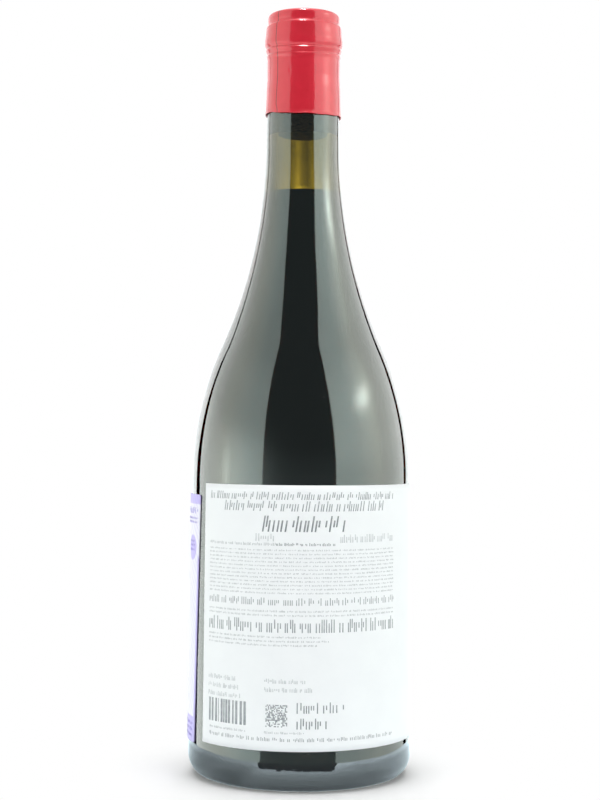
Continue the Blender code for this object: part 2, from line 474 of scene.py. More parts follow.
# %% [markdown]
# ## The capsule
#
# The capsule is a tin foil cup, lacquered red outside and spun down by rollers until it grips the
# glass. The rollers leave it smooth on the ring and pinched in under the lip. It is rolled from a
# flat blank, so a seam runs down one side, where one edge lies over the other: a step of a tenth of a
# millimetre with a groove beside it. The dark line along it is partly that shape and partly painted
# shade in the finish further down. Its lower edge is cut, not rolled, so it stands a little proud and
# waves. Apart from that painted shade, all of that is shape, worked out as a relief on the turned
# profile.

# %% Capsule outline and seam
FOIL = 0.25 * MM
SEAM = math.radians(-44.6)
SEAM_STEP = 0.12 * MM
SEAM_GROOVE = 0.10 * MM
SEAM_EASE = 0.012
SIDE_SPACING = 0.19 * MM
INSIDE_SPACING = 1.2 * MM
capsule_knots = MM * np.array([
    (0.0, 295.45), (12.7, 295.45), (13.5, 295.25), (13.95, 294.6), (14.05, 293.9), (14.0, 292.2),
    (13.85, 291.5), (14.0, 291.0), (14.7, 290.4), (14.85, 289.0), (15.0, 287.0), (15.25, 285.0),
    (15.2, 283.2), (14.85, 282.6), (14.42, 282.1), (14.88, 281.5), (14.70, 281.0), (14.40, 280.3),
    (14.12, 279.7), (14.45, 279.1), (14.35, 278.5), (14.2, 277.8), (14.2, 270.0), (14.45, 266.0),
    (14.6, 261.0), (14.8, 254.3)])


def smooth(x):
    """Smoothstep: 3 x^2 - 2 x^3 with x held between 0 and 1."""
    x = np.clip(x, 0.0, 1.0)
    return x * x * (3 - 2 * x)


def refine(profile, spacing):
    """Rounds a polyline a little (a moving average over its length) and spaces its points evenly."""
    length = np.concatenate([[0], np.cumsum(np.hypot(*np.diff(profile, axis=0).T))])
    s = np.linspace(0, length[-1], int(length[-1] / spacing) + 1)
    dense = np.column_stack([np.interp(s, length, profile[:, k]) for k in range(2)])
    padded = np.pad(dense, ((2, 2), (0, 0)), mode="edge")
    soft = sum(padded[k:k + len(dense)] * w for k, w in enumerate((1, 2, 3, 2, 1))) / 9
    soft[[0, -1]] = dense[[0, -1]]
    return soft


def seam_angle(z):
    """The seam runs straight down, wanders left below the ring and turns right at the cut edge."""
    left = 0.022 * smooth((270 * MM - z) / (12 * MM))
    right = 0.06 * smooth((258.5 * MM - z) / (4 * MM))
    return SEAM - left + right


def past_seam(angle, z):
    """Angle from the seam, between -pi and pi."""
    return (angle - seam_angle(z) + np.pi) % (2 * np.pi) - np.pi


foil_top = np.column_stack([np.linspace(0, 11.8 * MM, 8), np.full(8, capsule_knots[0, 1])])
foil_side = refine(np.vstack([[12.0 * MM, capsule_knots[0, 1]], capsule_knots[1:]]), SIDE_SPACING)
foil_out = np.vstack([foil_top, foil_side])
on_top = capsule_knots[:, 1:] > 295 * MM
inner_knots = capsule_knots - (FOIL, 0) * (capsule_knots[:, :1] > ON_AXIS) - (0, FOIL) * on_top
foil_in = refine(inner_knots, INSIDE_SPACING)[::-1]
capsule_profile = np.vstack([foil_out, foil_in])
print("capsule profile", len(foil_out), "points outside and", len(foil_in), "inside")

# %% [markdown]
# Four small things make foil look like foil. The overlap of the seam fades out round the side. The
# cut edge flares by up to a quarter of a millimetre and curls by half as much, and it isn't level: it
# is pulled up at the sides. The beads under the ring aren't level either, and dip by a millimetre in
# front. And two short creases lie beside the seam, where the rollers caught it.

# %% Capsule relief
CREASES = [(-21.5, 271.0, 0.09), (-18.0, 269.0, 0.06)]
ROLLER_MARK = 0.010 * MM
FLARE_RISE = 1.5 * MM
CURL = 0.13 * MM
BEAD_DIP = 1.3
SEAM_STOPS = 293.0 * MM
CAPSULE_COLUMNS = 232


def foil_relief(angle, z):
    """Seam, roller marks and creases below the rim, and flare and curl at the cut edge."""
    past = past_seam(angle, z)
    lap = SEAM_STEP * smooth(past / SEAM_EASE) * (1 - smooth((past - 0.35) / 0.5))
    groove = -SEAM_GROOVE * np.exp(-(past / SEAM_EASE) ** 2)
    rollers = ROLLER_MARK * (np.sin(3 * angle + z / 0.006) + np.sin(8 * angle - z / 0.004 + 1.0))
    turned = (angle + np.pi) % (2 * np.pi) - np.pi
    crease = 0.0
    for degrees, height, depth in CREASES:
        beside = (turned - math.radians(degrees)) / 0.018
        along = (z / MM - height) / 2.4
        crease = crease - depth * MM * np.exp(-beside ** 2 - along ** 2)
    edge = smooth((CAPSULE_EDGE + FLARE_RISE - z) / FLARE_RISE)
    flare = edge * (0.12 + 0.10 * np.sin(2 * angle + 1.2) + 0.05 * np.sin(7 * angle)) * MM
    curl = CURL * smooth((CAPSULE_EDGE + 0.3 * MM - z) / (0.5 * MM))
    below_rim = 1 - smooth((z - SEAM_STOPS) / (1.6 * MM))
    return (lap + groove + rollers + crease) * below_rim + flare + curl


def foil_slide(angle, z):
    """The cut edge is pulled up at both sides, with two small waves, and the beads dip in front."""
    pulled = 1.4 * np.sin(angle) ** 2 - 0.6 * np.sin(angle)
    waves = 0.12 * np.sin(5 * angle + 1) + 0.07 * np.sin(11 * angle + 0.4)
    edge = smooth((264 * MM - z) / (9.7 * MM)) * (pulled + waves)
    beads = smooth((288 * MM - z) / (5 * MM)) * smooth((z - 270 * MM) / (7 * MM))
    return (edge - BEAD_DIP * beads * np.clip(np.cos(angle), 0.0, 1.0) ** 2) * MM


near_seam = np.arange(SEAM - 0.12, SEAM + 0.14, 0.008)
capsule_angles = np.unique(np.concatenate([evenly(CAPSULE_COLUMNS), near_seam % (2 * np.pi)]))
capsule_points, capsule_faces = lathe(capsule_profile, capsule_angles, foil_relief, foil_slide)
plain_points, _ = lathe(capsule_profile, capsule_angles)
plain_x, plain_y, plain_z = plain_points.T
past = past_seam(np.arctan2(plain_x, -plain_y), plain_z)
capsule_uv = (np.hypot(plain_x, plain_y) / MM)[:, None] * np.stack([np.sin(past), np.cos(past)], axis=1)
print("capsule", round(float(np.ptp(capsule_points[:, 2])) / MM, 1), "mm high,",
      round(volume_ml(capsule_points, capsule_faces), 2), "ml of foil")

# %% [markdown]
# The finish is a clear glossy lacquer over a red one, on metal. The red layer scatters light like
# paint, the metal under it adds a coloured sheen, and the lacquer adds white reflections of its own.
# A Principled shader with partly metallic red under a coat has the same three layers. The seam's
# shadow is painted shade: a narrow dark band in the colour, since the gap under the overlap holds no
# light. The UVs are (r sin p, r cos p) in millimetres with p the angle past the seam, so the painted
# line is at u = 0.

# %% Capsule finish
SEAM_SHADE_MM = 0.30


def lacquered_foil(name):
    """Red lacquer on tin: slightly mottled red, painted seam shade, coloured metal sheen, clear glossy
    coat.
    """
    material, tree, output = new_material(name)
    place = add(tree, "TexCoord").outputs["Object"]
    mottle = add(tree, "TexNoise", {"Vector": place, "Scale": 1 / (6 * MM), "Detail": 3.0})
    colour = add(tree, "ValToRGB", {"Fac": mottle.outputs["Fac"]})
    colour.color_ramp.elements[0].color = linear("#c41a2d")
    colour.color_ramp.elements[0].position = 0.3
    colour.color_ramp.elements[1].color = linear("#ce2034")
    colour.color_ramp.elements[1].position = 0.7
    # Painted shade: a dark band in the colour along the seam, for the shadow in the gap under the
    # overlap.
    flat = add(tree, "SeparateXYZ", {"Vector": add(tree, "UVMap").outputs["UV"]})
    beside = add(tree, "Math", {0: flat.outputs["X"]}, operation="ABSOLUTE")
    line = add(tree, "MapRange", {"Value": beside.outputs["Value"], "From Min": 0.4 * SEAM_SHADE_MM,
                                  "From Max": SEAM_SHADE_MM, "To Min": 0.95, "To Max": 0.0})
    this_side = add(tree, "Math", {0: flat.outputs["Y"], 1: 0.0}, operation="GREATER_THAN")
    dark = add(tree, "Math", {0: line.outputs["Result"], 1: this_side.outputs["Value"]},
               operation="MULTIPLY")
    seam_shaded = add(tree, "Mix", {"Factor": dark.outputs["Value"], "A": colour.outputs["Color"],
                               "B": linear("#26060a")}, data_type="RGBA")
    brushed = add(tree, "Mapping", {"Vector": place, "Scale": (1.0, 1.0, 12.0)})
    rolled = add(tree, "TexNoise", {"Vector": brushed.outputs["Vector"], "Scale": 1 / (4 * MM),
                                    "Detail": 2.0})
    bump = add(tree, "Bump", {"Height": rolled.outputs["Fac"], "Strength": 0.12, "Distance": 0.1 * MM})
    skin = add(tree, "BsdfPrincipled", {
        "Base Color": seam_shaded.outputs["Result"], "Metallic": 0.04, "Roughness": 0.34,
        "Specular IOR Level": 0.1, "Coat Weight": 0.4, "Coat Roughness": 0.05,
        "Normal": bump.outputs["Normal"]})
    tree.links.new(skin.outputs["BSDF"], output.inputs["Surface"])
    return material


finish_piece("capsule_foil", capsule_points, capsule_faces, lacquered_foil("red_lacquered_tin"),
             capsule_uv, stands_for=["capsule"])

# %% [markdown]
# ## Papers on the glass
#
# A paper on a bottle is a piece of a cone: flat along the height and round along the angle. Any point
# of it is given by an angle, a height and a distance off the glass, so one function places the label,
# the strip and the print. UVs are in millimetres, arc length across and height up, which makes every
# pattern on the papers easy to size.

# %% Points on the body
def body_radius(z):
    """Outside of the glass between heel and shoulder, a straight taper."""
    return np.interp(z, [HEEL_RISE, SHOULDER_START], [BODY_LOW, BODY_HIGH])


def on_body(angle, z, lift):
    """(r sin a, -r cos a, z) with r the glass radius at z plus the lift."""
    r = body_radius(z) + lift
    return np.stack([r * np.sin(angle), -r * np.cos(angle), z], axis=-1)


def paper(angles, heights, under, over, shape=None):
    """A thin closed sheet on the body: an outer and an inner grid and the four edges between them.

    angles and heights are 2-D grids, and shape(angle, z) adds to the distance off the glass. The UV
    of a point is (radius * angle, height) in millimetres.
    """
    rows, columns = angles.shape
    relief = 0.0 if shape is None else shape(angles, heights)
    outer = on_body(angles, heights, over + relief).reshape(-1, 3)
    inner = on_body(angles, heights, under + relief).reshape(-1, 3)
    i, j = np.meshgrid(np.arange(rows - 1), np.arange(columns - 1), indexing="ij")
    a = (i * columns + j).ravel()
    front = np.stack([a, a + 1, a + columns + 1, a + columns], axis=1)
    back = front[:, ::-1] + rows * columns
    rim = np.concatenate([np.arange(columns), columns - 1 + columns * np.arange(1, rows),
                          rows * columns - 2 - np.arange(columns - 1),
                          columns * np.arange(rows - 2, 0, -1)])
    after = np.roll(rim, -1)
    edge = np.stack([rim, rim + rows * columns, after + rows * columns, after], axis=1)
    uv = np.stack([BODY_LOW * angles / MM, heights / MM], axis=-1).reshape(-1, 2)
    return np.vstack([outer, inner]), np.vstack([front, back, edge]).tolist(), np.vstack([uv, uv])


label_low, label_high = (float(corner[2]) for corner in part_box("label"))
print("label from", round(label_low / MM, 1), "to", round(label_high / MM, 1), "mm")

# %% [markdown]
# ## The label
#
# The label is white coated paper, glued wet, so it lies flat with the odd faint ripple. Coated paper
# is smooth and slightly bluish white, with very fine fibre under the coating. The sheet is a little
# over a tenth of a millimetre thick, so its edges catch a hairline of shade against the glass.

# %% Label
LABEL_LEFT = math.radians(-57.0)
LABEL_RIGHT = math.radians(234.0)
PAPER_UNDER = 0.08 * MM
PAPER_OVER = 0.22 * MM
RIPPLE = 0.02 * MM
LABEL_ROWS = 40
LABEL_COLUMNS = 260


def ripples(angle, z):
    """Glue ripples: two slow sine waves, 0.02 mm deep."""
    return RIPPLE * (np.sin(7 * angle + z / 0.017) + np.sin(11 * angle - z / 0.011 + 0.5))


def coated_paper(name, white, shade):
    """Coated paper: a white with a trace of cloud, fine fibre bump and a low sheen."""
    material, tree, output = new_material(name)
    uv = add(tree, "UVMap")
    cloud = add(tree, "TexNoise", {"Vector": uv.outputs["UV"], "Scale": 1 / 9, "Detail": 3.0})
    fibre = add(tree, "TexNoise", {"Vector": uv.outputs["UV"], "Scale": 1 / 0.5, "Detail": 3.0})
    colour = add(tree, "Mix", {"Factor": cloud.outputs["Fac"], "A": linear(white), "B": linear(shade)},
                 data_type="RGBA")
    bump = add(tree, "Bump", {"Height": fibre.outputs["Fac"], "Strength": 0.25, "Distance": 0.03 * MM})
    skin = add(tree, "BsdfPrincipled", {"Base Color": colour.outputs["Result"], "Roughness": 0.62,
                                        "Specular IOR Level": 0.35, "Normal": bump.outputs["Normal"]})
    tree.links.new(skin.outputs["BSDF"], output.inputs["Surface"])
    return material


label_rows = np.linspace(label_low, label_high, LABEL_ROWS)
label_columns = np.linspace(LABEL_LEFT, LABEL_RIGHT, LABEL_COLUMNS)
heights, angles = np.meshgrid(label_rows, label_columns, indexing="ij")
points, faces, uv = paper(angles, heights, PAPER_UNDER, PAPER_OVER, ripples)
finish_piece("label_sheet", points, faces, coated_paper("coated_label_paper", "#f4f7f8", "#eef1f3"),
             uv, stands_for=["label"])
print("label", round(BODY_LOW * (LABEL_RIGHT - LABEL_LEFT) / MM), "mm round")

# %% [markdown]
# ## Small print
#
# Print on a back label reads, from a step away, as rows of grey texture. Here every row is a run of
# parallel ink strokes, tall or short by a seeded draw, with gaps like the gaps between words. They
# spell nothing. They are thin flat cells laid on the paper, so they stay sharp in any export, which a
# texture of this size would not. Each mark is (left, right, low, high, lean) in millimetres, where
# the lean is how far its top stands to the right of its foot.

# %% Rows of ink
SEED = 7
FEET = (0.0, 0.0, 0.0, 0.3)
TIPS = (1.0, 0.72, 0.72)
STEPS = (0.8, 1.0, 1.25)
WORD_GAP = 1.1
BAR_MM = 0.33
draw = np.random.default_rng(SEED)


def stroke_row(left, right, base, height, pitch, wide, lean=0.0):
    """Groups of 2 to 9 strokes about one pitch apart.

    FEET and TIPS are the shares of the height at which a stroke may start and end.
    """
    marks, x = [], left
    while x + wide < right:
        for _ in range(draw.integers(2, 10)):
            if x + wide > right:
                break
            foot = height * draw.choice(FEET)
            tip = height * draw.choice(TIPS)
            start = x + lean * foot
            marks.append((start, start + wide, base + foot, base + tip, lean * (tip - foot)))
            x += pitch * draw.choice(STEPS)
        x += WORD_GAP * pitch
    return marks


def small_rows(left, right, top, line, count, height, wide=0.24, ragged=0.0):
    """Rows of small strokes, one line apart from the top down, whose right ends may fall short."""
    rows = [stroke_row(left, right - ragged * draw.random(), top - height - k * line, height,
                       2.0 * wide, wide) for k in range(count)]
    return [mark for row in rows for mark in row]


def bars(left, right, low, high):
    """A run of bars of mixed width, as a plain band of stripes."""
    marks, x = [], left
    while x < right:
        wide = BAR_MM * draw.integers(1, 4)
        marks.append((x, x + wide, low, high, 0.0))
        x += wide + BAR_MM * draw.integers(1, 4)
    return marks


def dotted_square(left, low, cell, cells):
    """A square of small cells, about half of them inked."""
    row, column = np.nonzero(draw.random((cells, cells)) < 0.5)
    x, y = left + cell * column, low + cell * row
    return list(zip(x, x + cell, y, y + cell, np.zeros(len(x))))


fine = (small_rows(-39, -9, 91.4, 1.5, 1, 1.1) + small_rows(-39, 41, 89.0, 1.42, 12, 0.6)
        + small_rows(-39, 41, 66.8, 1.5, 2, 0.7) + small_rows(-39, 12, 57.4, 1.5, 3, 0.7, ragged=6)
        + small_rows(-38, -20, 22.8, 1.2, 1, 0.85) + small_rows(-13, 2, 22.8, 1.2, 1, 0.85))
pale = (small_rows(-39, -21, 41.9, 3.1, 3, 1.7, 0.30, 4)
        + small_rows(-13, 5, 41.9, 3.1, 2, 1.7, 0.30, 4)
        + stroke_row(-17, -9, 91.9, 2.8, 0.9, 0.36) + stroke_row(15, 41, 91.4, 3.0, 0.9, 0.36))
medium = (stroke_row(-39, 41, 107.1, 2.8, 0.85, 0.34, 0.16)
          + stroke_row(-31, 35, 102.9, 3.7, 1.0, 0.40, 0.16)
          + stroke_row(-9, 13, 90.3, 1.1, 0.52, 0.28) + stroke_row(-39, 41, 68.6, 2.7, 0.85, 0.30)
          + stroke_row(-39, 41, 58.7, 4.8, 0.95, 0.42) + stroke_row(-38, 40, 19.2, 1.4, 0.7, 0.26)
          + bars(-38.5, -21, 24.4, 33.0) + dotted_square(-12.5, 24.4, 0.45, 18))
bold = (stroke_row(-14.5, 16.5, 95.4, 5.8, 1.35, 0.6, 0.16) + stroke_row(-1, 17, 29.5, 3.9, 1.1, 0.4)
        + stroke_row(-1, 10, 23.8, 3.9, 1.1, 0.4))
print(len(fine), "fine,", len(pale), "pale,", len(medium), "medium and", len(bold), "bold marks")

# %% [markdown]
# Offset ink on coated paper is matt and not quite black. Thin strokes look lighter than thick ones,
# as the eye mixes them with the white around them, so there are four greys.

# %% Ink on the paper
INK_LIFT = 0.035 * MM
INK_DEEP = 0.03 * MM


def ink(name, colour, worn):
    """Matt printing ink with a slight unevenness of cover."""
    material, tree, output = new_material(name)
    uv = add(tree, "UVMap")
    cover = add(tree, "TexNoise", {"Vector": uv.outputs["UV"], "Scale": 1 / 1.5})
    mixed = add(tree, "Mix", {"Factor": cover.outputs["Fac"], "A": linear(colour), "B": linear(worn)},
                data_type="RGBA")
    skin = add(tree, "BsdfPrincipled", {"Base Color": mixed.outputs["Result"], "Roughness": 0.7})
    tree.links.new(skin.outputs["BSDF"], output.inputs["Surface"])
    return material


def printed(name, marks, material, start, lift):
    """Thin closed cells: each mark is a front and a back quad joined by four edges.

    A mark at x is at the angle start(z) + x / radius, and lift(angle, z) is the paper's surface.
    """
    x0, x1, z0, z1, lean = np.array(marks).T * MM
    x = np.stack([x0, x1, x1 + lean, x0 + lean], axis=1)
    z = np.stack([z0, z0, z1, z1], axis=1)
    angle = start(z) + x / BODY_LOW
    surface = lift(angle, z) + INK_LIFT
    front, back = on_body(angle, z, surface), on_body(angle, z, surface - INK_DEEP)
    points = np.concatenate([front, back], axis=1).reshape(-1, 3)
    cell = np.array([(0, 1, 2, 3), (7, 6, 5, 4), (0, 4, 5, 1), (1, 5, 6, 2), (2, 6, 7, 3), (3, 7, 4, 0)])
    faces = (cell[None] + 8 * np.arange(len(marks))[:, None, None]).reshape(-1, 4).tolist()
    flat = np.stack([x / MM, z / MM], axis=-1)
    uv = np.concatenate([flat, flat], axis=1).reshape(-1, 2)
    return finish_piece(name, points, faces, material, uv)


def label_middle(z):
    """The label's marks are counted from the front."""
    return 0.0 * z


def label_surface(angle, z):
    """Outer side of the label."""
    return PAPER_OVER + ripples(angle, z)


GREYS = [("fine", fine, "#a4a9ac", "#cdd1d3"), ("pale", pale, "#b4b9bc", "#d6dadb"),
         ("medium", medium, "#6d7276", "#b6babd"), ("bold", bold, "#4b5054", "#9da2a5")]
for name, marks, grey, worn in GREYS:
    printed("print_" + name, marks, ink(name + "_ink", grey, worn), label_middle,
            label_surface)

# %% [markdown]
# ## The duty strip
#
# A duty strip is a small security paper, glued upright beside the label, and here a little askew. It
# is nearly white in the middle, lilac at both ends and along its right edge, with a lilac rosette
# near the top and a fine wavy guard pattern over all of it. Bands, rosette and waves are functions of
# the height and of the distance from the right edge, so the shader works them out from the UVs.

# %% Strip finish
STRIP_WIDTH = 26.0 * MM
STRIP_EDGE_LOW = math.radians(-66.8)
STRIP_EDGE_HIGH = math.radians(-62.1)
STRIP_LIFT = 0.2 * MM
STRIP_CORNER = 1.2 * MM
CORNER_ROWS = 7
STRIP_ROWS = 50
STRIP_COLUMNS = 40
TOP_BAND = (104.0, 104.6)
BOTTOM_BAND = (23.8, 23.2)
EDGE_BAND = (-1.6, -0.9)
EDGE_BAND_TOP = (86.0, 83.0)
ROSETTE_MIDDLE = (-7.5, 87.6, 0.0)
ROSETTE_RIM = (5.2, 4.4)
strip_low, strip_high = (float(corner[2]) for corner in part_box("strip"))


def calc(tree, operation, first, second=0.0):
    """The result of one math node."""
    return add(tree, "Math", {0: first, 1: second}, operation=operation).outputs["Value"]


def ramp_between(tree, value, start, end):
    """0 below start, 1 above end and a smooth change between; start above end turns it round."""
    return add(tree, "MapRange", {"Value": value, "From Min": start, "From Max": end},
               interpolation_type="SMOOTHSTEP").outputs["Result"]


def security_paper(name):
    """White paper with lilac ends, edge and rosette, and wavy lilac lines about 2.5 mm apart.

    A pair such as TOP_BAND tells where its lilac starts and where it is full, in millimetres.
    """
    material, tree, output = new_material(name)
    uv = add(tree, "UVMap").outputs["UV"]
    flat = add(tree, "SeparateXYZ", {"Vector": uv})
    u, v = flat.outputs["X"], flat.outputs["Y"]
    top = ramp_between(tree, v, *TOP_BAND)
    bottom = ramp_between(tree, v, *BOTTOM_BAND)
    beside, below = ramp_between(tree, u, *EDGE_BAND), ramp_between(tree, v, *EDGE_BAND_TOP)
    edge = calc(tree, "MULTIPLY", beside, below)
    from_middle = add(tree, "VectorMath", {0: uv, 1: ROSETTE_MIDDLE}, operation="DISTANCE")
    rosette = ramp_between(tree, from_middle.outputs["Value"], *ROSETTE_RIM)
    ends = calc(tree, "MAXIMUM", top, bottom)
    lilac = calc(tree, "MAXIMUM", ends, calc(tree, "MAXIMUM", edge, rosette))
    wave = add(tree, "TexWave", {"Vector": uv, "Scale": 1 / 5.6, "Distortion": 2.5, "Detail": 1.0,
                                 "Detail Scale": 0.6}, bands_direction="DIAGONAL")
    line = add(tree, "MapRange", {"Value": wave.outputs["Fac"], "From Min": 0.7, "From Max": 0.9,
                                  "To Min": 0.0, "To Max": 0.16})
    tinted = add(tree, "Mix", {"Factor": lilac, "A": linear("#e9e7f4"), "B": linear("#c0b5ea")},
                 data_type="RGBA")
    colour = add(tree, "Mix", {"Factor": line.outputs["Result"], "A": tinted.outputs["Result"],
                               "B": linear("#8f80d6")}, data_type="RGBA")
    skin = add(tree, "BsdfPrincipled", {"Base Color": colour.outputs["Result"], "Roughness": 0.6})
    tree.links.new(skin.outputs["BSDF"], output.inputs["Surface"])
    return material


lilac_paper = security_paper("lilac_security_paper")
print("strip", round((strip_high - strip_low) / MM), "mm tall,", round(STRIP_WIDTH / MM), "mm wide")

# %% [markdown]
# Its corners are cut round. The sheet is a grid, so every row is drawn in at both ends by the height
# of a circle's corner, and the first and last rows come out shorter than the rest. The print on it is
# made like the print on the label, in purple.

# %% Strip and its print
def strip_edge(z):
    """Angle of the strip's right edge, which leans with the height."""
    return np.interp(z, [strip_low, strip_high], [STRIP_EDGE_LOW, STRIP_EDGE_HIGH])


def strip_surface(angle, z):
    """Outer side of the strip."""
    return np.full(np.shape(angle), PAPER_OVER + STRIP_LIFT)


tall = strip_high - strip_low
rise = np.concatenate([np.linspace(0, STRIP_CORNER, CORNER_ROWS)[:-1],
                       np.linspace(STRIP_CORNER, tall - STRIP_CORNER, STRIP_ROWS),
                       tall - np.linspace(STRIP_CORNER, 0, CORNER_ROWS)[1:]])
from_end = np.minimum(rise, tall - rise)
over = np.clip(STRIP_CORNER - from_end, 0.0, STRIP_CORNER)
drawn_in = STRIP_CORNER - np.sqrt(STRIP_CORNER ** 2 - over ** 2)
share = np.linspace(0, 1, STRIP_COLUMNS)
u = (share - 1)[None, :] * (STRIP_WIDTH - 2 * drawn_in)[:, None] - drawn_in[:, None]
heights = np.repeat((strip_low + rise)[:, None], len(share), axis=1)
points, faces, _ = paper(strip_edge(heights) + u / BODY_LOW, heights, PAPER_UNDER,
                         PAPER_OVER + STRIP_LIFT)
uv = np.stack([u / MM, heights / MM], axis=-1).reshape(-1, 2)
finish_piece("duty_strip", points, faces, lilac_paper, np.vstack([uv, uv]),
             stands_for=["strip"])
purple = (stroke_row(-22, -1.6, 100.6, 2.4, 1.1, 0.5, 0.16)
          + small_rows(-22, -1.6, 99.4, 1.5, 2, 1.0) + small_rows(-10.5, -4.5, 90.6, 1.6, 3, 1.1)
          + small_rows(-23, -2, 21.5, 2.2, 3, 1.4, 0.30))
printed("strip_print", purple, ink("purple_ink", "#8b7ecb", "#b3a9de"), strip_edge,
        strip_surface)

# %% [markdown]
# ## Dust
#
# A bottle from a shelf carries a little dust. It shows only where the glass reflects the dark room,
# as a few pale specks on the shoulder. Each is a flattened octahedron about a fifth of a millimetre
# long, half sunk in the glass so that it touches.

# %% Dust on the shoulder
FLECKS = 34
DUST_SIDE = 36
DUST_FROM, DUST_TO = 113, 186
SHORTEST, LONGEST = 0.07, 0.15
FLECK_HEIGHT = 0.05
turn = np.radians(draw.uniform(-DUST_SIDE, DUST_SIDE, FLECKS))
z = draw.uniform(DUST_FROM, DUST_TO, FLECKS) * MM
long_way = draw.uniform(SHORTEST, LONGEST, FLECKS) * MM
shoulder_z, shoulder_r = side[::-1, 1], side[::-1, 0]
r = np.interp(z, shoulder_z, shoulder_r)
r_above = np.interp(z + MM, shoulder_z, shoulder_r)
r_below = np.interp(z - MM, shoulder_z, shoulder_r)
slope = (r_above - r_below) / (2 * MM)
outward = np.stack([np.sin(turn), -np.cos(turn), -slope], axis=1)
upward = np.stack([slope * np.sin(turn), -slope * np.cos(turn), np.ones(FLECKS)], axis=1)
sideways = np.stack([np.cos(turn), np.sin(turn), np.zeros(FLECKS)], axis=1)
middle = np.stack([r * np.sin(turn), -r * np.cos(turn), z], axis=1)
arms = [sideways * long_way[:, None], upward * long_way[:, None] * 0.7, outward * FLECK_HEIGHT * MM]
points = np.stack([middle + sign * arm for arm in arms for sign in (1, -1)], axis=1).reshape(-1, 3)
octahedron = np.array([(0, 2, 4), (2, 1, 4), (1, 3, 4), (3, 0, 4),
                       (2, 0, 5), (1, 2, 5), (3, 1, 5), (0, 3, 5)])
faces = (octahedron[None] + 6 * np.arange(FLECKS)[:, None, None]).reshape(-1, 3)
dust, tree, output = new_material("house_dust")
grey = add(tree, "BsdfPrincipled", {"Base Color": linear("#a9aaa4"), "Roughness": 1.0})
tree.links.new(grey.outputs["BSDF"], output.inputs["Surface"])
finish_piece("dust_flecks", points, faces.tolist(), dust)
print("dust volume above 0 if closed and outward:", volume_ml(points, faces.tolist()) > 0)

# %% [markdown]
# ## Floor and soft light
#
# Packshots are lit for their reflections. Dark glass is nearly a black mirror, so what shows on it is
# the studio: a tall white softbox on each side, a white wall behind and the dark room in front, which
# leaves a dark band down the middle of the bottle. The floor is lit near the bottle, for its contact
# shadow, and goes over to plain white for the camera further out.

# %% Floor
FLOOR_HALF = 3.0
FLOOR_PALE = "#f6f7f7"
SHADE_TO = 0.03
WHITE_FROM = 0.085
floor_mesh = bpy.data.meshes.new("floor")
corners = FLOOR_HALF * np.array([(-1, -1, 0), (1, -1, 0), (1, 1, 0), (-1, 1, 0)])
floor_mesh.from_pydata(corners.tolist(), [], [(0, 1, 2, 3)])
floor = bpy.data.objects.new("floor", floor_mesh)
bpy.context.collection.objects.link(floor)
floor.visible_glossy = False
pale_floor, tree, output = new_material("pale_studio_floor")
place = add(tree, "TexCoord")
away = add(tree, "VectorMath", {0: place.outputs["Object"]}, operation="LENGTH").outputs["Value"]
seen = add(tree, "LightPath").outputs["Is Camera Ray"]
near = add(tree, "BsdfDiffuse", {"Color": linear(FLOOR_PALE)})
sweep = add(tree, "Emission", {"Color": (1, 1, 1, 1), "Strength": 1.0})
whiter = calc(tree, "MULTIPLY", ramp_between(tree, away, SHADE_TO, WHITE_FROM), seen)
mixed = add(tree, "MixShader", {0: whiter, 1: near.outputs["BSDF"], 2: sweep.outputs["Emission"]})
tree.links.new(mixed.outputs["Shader"], output.inputs["Surface"])
floor_mesh.materials.append(pale_floor)
print("floor", 2 * FLOOR_HALF, "m wide")

# %% [markdown]
# The softboxes stand close, so the reflection of one shifts as the eye runs down the bottle. Light
# painted on the world would be too far away for that. A tent does it: a wide tube round the set that
# only reflections and refracted rays see. Its brightness is worked out from the azimuth, counted from
# the camera's side, and from the height. Each side has a box with a soft lamp behind it, and a dark
# gap between the box and the wall behind the set. The clear part of the neck shows the wall itself,
# which is brighter than its mirror image at the bottle's edges, so refracted rays get curves of their
# own, counted from the middle of the back. They drop steeply at one height, which draws the thin
# light line just above the wine.

# %% Brightness curves of the tent
TENT_RADIUS = 1.2
LEFT_ROUND = [(0, 0), (38.8, 0), (40.2, 4.2), (54, 4.3), (72, 4.5), (90, 4.1), (110, 3.6), (134, 3.4),
              (143, 2.5), (150, 2.2), (158, 1.7), (170, 1.6), (180, 2.2)]
RIGHT_ROUND = [(0, 0), (35.2, 0), (36.6, 5.2), (60, 5.3), (75, 5.4), (88, 5.3), (97, 4.3), (110, 3.7),
               (134, 2.9), (143, 2.6), (150, 2.4), (158, 1.7), (170, 1.4), (180, 1.5)]
LEFT_UP = [(-300, 0.95), (330, 1.0), (480, 0.86), (800, 0.86), (1250, 0.66)]
RIGHT_UP = [(-205, 0.62), (-60, 0.78), (60, 0.94), (130, 0.96), (300, 1.12), (700, 1.06), (1250, 0.85)]
ROOM_UP = [(-200, 0.85), (0, 0.65), (125, 0.5), (350, 0.34), (1600, 0.33)]
LAMPS = [(-72, 100, 30, 270, 3.0), (-83, 120, 5, 150, 2.5), (77, 660, 11, 85, 8.6),
         (77, 640, 11, 260, 0.8), (80, 800, 25, 400, 1.0)]
THROUGH_ROUND = [(-40, 4), (-30, 4), (-15, 6), (-10, 5), (-7.5, 3.2), (-5, 4.6), (-2.6, 8), (-0.2, 3.5),
                 (2.4, 2.0), (5, 5.0), (8, 4.2), (30, 4), (40, 4)]
THROUGH_UP = [(380, 2.1), (413.8, 2.1), (415.4, 0.96), (435, 0.72), (455, 0.47), (520, 0.4)]
RIGHT_LEAN = 0.0035
LEAN_FROM = 125.0
LEFT_GAP = (135.9, -0.006, 5.4, 0.0058)
RIGHT_GAP = (138.9, 0.004, 3.8, 0.0008)
GAP_LEAST = 1.7
GAP_BLUR = 0.6


